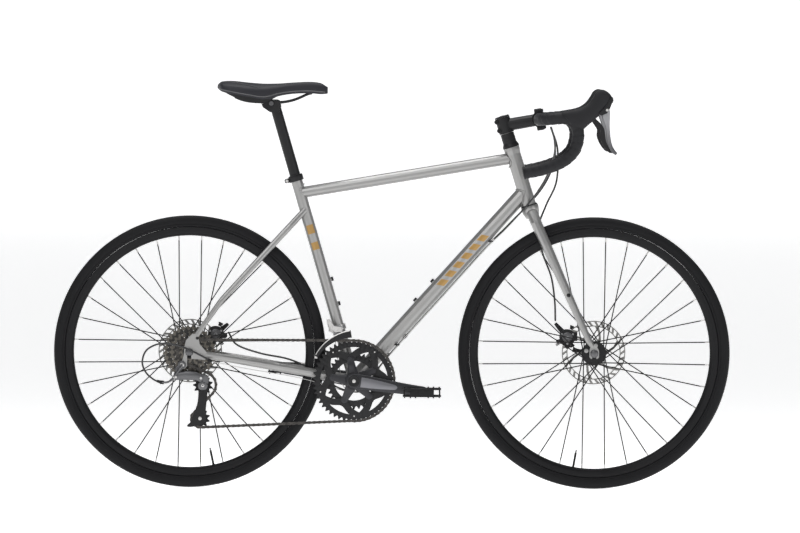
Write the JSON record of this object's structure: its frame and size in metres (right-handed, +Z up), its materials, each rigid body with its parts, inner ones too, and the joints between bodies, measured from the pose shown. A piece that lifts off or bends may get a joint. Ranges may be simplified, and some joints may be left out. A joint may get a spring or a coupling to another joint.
{
  "type": "road bicycle",
  "caption": "Drop-bar road bicycle with cable disc brakes, round-tube diamond frame, spoked wheels, double chainset, derailleur gears and platform pedals.",
  "frame": {"origin": "on the ground under the middle of the wheelbase, in the plane of the wheels", "axes": "+X forward, +Y the rider's left, +Z up; the drivetrain is at -Y"},
  "size_m": [1.696, 0.4544, 1.02],
  "materials": {
    "frame_paint": "satin metallic silver",
    "black_alloy": "black anodised",
    "grey_alloy": "dark grey satin",
    "steel": "brushed",
    "chain_steel": "oiled dark steel",
    "tyre": "matt black rubber",
    "plastic": "matt black",
    "rubber": "textured black rubber",
    "tape": "wound black bar tape",
    "saddle": "black synthetic cover"
  },
  "bodies": {
    "frame": {"head_tube": "frame_paint", "top_tube": "frame_paint", "down_tube": "frame_paint", "seat_tube": "frame_paint", "bottom_bracket_shell": "frame_paint", "bottom_bracket_cartridge": "black_alloy", "rear_stays_right": "frame_paint", "rear_stays_left": "frame_paint", "seat_collar": "black_alloy", "rear_caliper": "black_alloy", "rear_derailleur_mount": "grey_alloy", "front_derailleur_clamp": "grey_alloy", "rear_brake_housing": "plastic", "rear_shift_cable": "plastic", "front_shift_cable": "plastic", "chain": "chain_steel"},
    "steering": {"fork": "frame_paint", "headset_spacers": "black_alloy", "stem": "black_alloy", "stem_faceplate": "black_alloy", "handlebar": "black_alloy", "bar_tape_right": "tape", "bar_tape_left": "tape", "hood_right": "rubber", "hood_left": "rubber", "front_caliper": "black_alloy", "front_brake_housing": "plastic"},
    "front_wheel": {"front_tyre": "tyre", "front_rim": "black_alloy", "front_hub": "black_alloy", "front_rotor": "steel"},
    "rear_wheel": {"rear_tyre": "tyre", "rear_rim": "black_alloy", "rear_hub": "black_alloy", "rear_rotor": "steel"},
    "cassette": {"cassette": "steel"},
    "crankset": {"crank_right": "grey_alloy", "crank_left": "grey_alloy", "chainring_outer": "black_alloy", "chainring_inner": "black_alloy"},
    "pedal_right": {"pedal_right": "plastic"},
    "pedal_left": {"pedal_left": "plastic"},
    "seatpost": {"seatpost": "black_alloy", "saddle": "saddle", "saddle_rails": "black_alloy"},
    "brake_lever_right": {"brake_lever_right": "grey_alloy"},
    "brake_lever_left": {"brake_lever_left": "grey_alloy"},
    "shift_paddle_right": {"shift_paddle_right": "black_alloy"},
    "shift_paddle_left": {"shift_paddle_left": "black_alloy"},
    "front_caliper_arm": {"front_caliper_arm": "grey_alloy"},
    "rear_caliper_arm": {"rear_caliper_arm": "grey_alloy"},
    "front_qr": {"front_qr_lever": "black_alloy"},
    "rear_qr": {"rear_qr_lever": "black_alloy"},
    "rear_derailleur_outer_link": {"rear_derailleur_outer_link": "grey_alloy"},
    "rear_derailleur_inner_link": {"rear_derailleur_inner_link": "grey_alloy"},
    "rear_derailleur_knuckle": {"rear_derailleur_knuckle": "grey_alloy"},
    "rear_derailleur_cage": {"rear_derailleur_cage": "black_alloy"},
    "guide_pulley": {"guide_pulley": "plastic"},
    "tension_pulley": {"tension_pulley": "plastic"},
    "front_derailleur_cage": {"front_derailleur_cage": "grey_alloy"}
  },
  "joints": [
    {"name": "steering_turn", "type": "hinge", "parent": "frame", "child": "steering", "pos_m": [0.3423, 0, 0.7125], "axis": [-0.2984, 0, 0.9544], "range_deg": [-60, 60], "deforming": ["rear_brake_housing", "rear_shift_cable", "front_shift_cable"]},
    {"name": "front_wheel_spin", "type": "hinge", "parent": "steering", "child": "front_wheel", "pos_m": [0.507, 0, 0.341], "axis": [0, 1, 0], "continuous": true},
    {"name": "rear_wheel_spin", "type": "hinge", "parent": "frame", "child": "rear_wheel", "pos_m": [-0.507, 0, 0.341], "axis": [0, 1, 0], "continuous": true},
    {"name": "crank_spin", "type": "hinge", "parent": "frame", "child": "crankset", "pos_m": [-0.0945, 0, 0.27], "axis": [0, 1, 0], "continuous": true},
    {"name": "cassette_spin", "type": "hinge", "parent": "frame", "child": "cassette", "pos_m": [-0.507, -0.0565, 0.341], "axis": [0, 1, 0], "continuous": true},
    {"name": "pedal_right_spin", "type": "hinge", "parent": "crankset", "child": "pedal_right", "pos_m": [0.07561, -0.128, 0.24458], "axis": [0, 1, 0], "continuous": true},
    {"name": "pedal_left_spin", "type": "hinge", "parent": "crankset", "child": "pedal_left", "pos_m": [-0.26461, 0.128, 0.29542], "axis": [0, 1, 0], "continuous": true},
    {"name": "seatpost_height", "type": "slide", "parent": "frame", "child": "seatpost", "axis": [-0.2805, 0, 0.9599], "range_m": [-0.06, 0.03]},
    {"name": "brake_lever_right_pull", "type": "hinge", "parent": "steering", "child": "brake_lever_right", "pos_m": [0.515, -0.21, 0.9465], "axis": [0, 1, 0], "range_deg": [0, 20], "stiffness_Nm_per_rad": 0.6, "springref_deg": -11.46},
    {"name": "shift_paddle_right_swing", "type": "hinge", "parent": "brake_lever_right", "child": "shift_paddle_right", "pos_m": [0.505, -0.21, 0.93], "axis": [1, 0, 0], "range_deg": [0, 20], "stiffness_Nm_per_rad": 0.1, "springref_deg": -11.46},
    {"name": "brake_lever_left_pull", "type": "hinge", "parent": "steering", "child": "brake_lever_left", "pos_m": [0.515, 0.21, 0.9465], "axis": [0, 1, 0], "range_deg": [0, 20], "stiffness_Nm_per_rad": 0.6, "springref_deg": -11.46},
    {"name": "shift_paddle_left_swing", "type": "hinge", "parent": "brake_lever_left", "child": "shift_paddle_left", "pos_m": [0.505, 0.21, 0.93], "axis": [-1, 0, 0], "range_deg": [0, 20], "stiffness_Nm_per_rad": 0.1, "springref_deg": -11.46},
    {"name": "front_caliper_arm_turn", "type": "hinge", "parent": "steering", "child": "front_caliper_arm", "pos_m": [0.441, 0.06, 0.379], "axis": [0, 1, 0], "range_deg": [0, 18]},
    {"name": "rear_caliper_arm_turn", "type": "hinge", "parent": "frame", "child": "rear_caliper_arm", "pos_m": [-0.443, 0.072, 0.383], "axis": [0, 1, 0], "range_deg": [0, 18]},
    {"name": "front_qr_swing", "type": "hinge", "parent": "steering", "child": "front_qr", "pos_m": [0.507, 0.0695, 0.341], "axis": [0, 0, -1], "range_deg": [0, 170]},
    {"name": "rear_qr_swing", "type": "hinge", "parent": "frame", "child": "rear_qr", "pos_m": [-0.507, 0.0875, 0.341], "axis": [0, 0, -1], "range_deg": [0, 170]},
    {"name": "rear_derailleur_shift", "type": "hinge", "parent": "frame", "child": "rear_derailleur_outer_link", "pos_m": [-0.539, -0.084, 0.2775], "axis": [0, 0.5501, 0.8351], "range_deg": [-6, 20], "deforming": ["chain"]},
    {"name": "rear_derailleur_inner_pivot", "type": "hinge", "parent": "frame", "child": "rear_derailleur_inner_link", "pos_m": [-0.539, -0.072, 0.2775], "axis": [0, 0.5501, 0.8351], "range_deg": [-6, 20]},
    {"name": "rear_derailleur_knuckle_pivot", "type": "hinge", "parent": "rear_derailleur_outer_link", "child": "rear_derailleur_knuckle", "pos_m": [-0.477, -0.084, 0.2755], "axis": [0, 0.5501, 0.8351], "range_deg": [-20, 6]},
    {"name": "rear_derailleur_cage_turn", "type": "hinge", "parent": "rear_derailleur_knuckle", "child": "rear_derailleur_cage", "pos_m": [-0.472, -0.0565, 0.258], "axis": [0, 1, 0], "range_deg": [-15, 35], "stiffness_Nm_per_rad": 0.5},
    {"name": "guide_pulley_spin", "type": "hinge", "parent": "rear_derailleur_cage", "child": "guide_pulley", "pos_m": [-0.472, -0.0565, 0.258], "axis": [0, 1, 0], "continuous": true},
    {"name": "tension_pulley_spin", "type": "hinge", "parent": "rear_derailleur_cage", "child": "tension_pulley", "pos_m": [-0.479, -0.0565, 0.1745], "axis": [0, 1, 0], "continuous": true},
    {"name": "front_derailleur_shift", "type": "slide", "parent": "frame", "child": "front_derailleur_cage", "axis": [0, 1, 0], "range_m": [0, 0.007]}
  ],
  "couplings": [
    {"joint": "cassette_spin", "follows": "crank_spin", "ratio": 3.3333},
    {"joint": "guide_pulley_spin", "follows": "crank_spin", "ratio": -4.5455},
    {"joint": "tension_pulley_spin", "follows": "crank_spin", "ratio": 4.5455},
    {"joint": "front_caliper_arm_turn", "follows": "brake_lever_left_pull", "ratio": 0.8},
    {"joint": "rear_caliper_arm_turn", "follows": "brake_lever_right_pull", "ratio": 0.8},
    {"joint": "rear_derailleur_inner_pivot", "follows": "rear_derailleur_shift", "ratio": 1},
    {"joint": "rear_derailleur_knuckle_pivot", "follows": "rear_derailleur_shift", "ratio": -1}
  ]
}
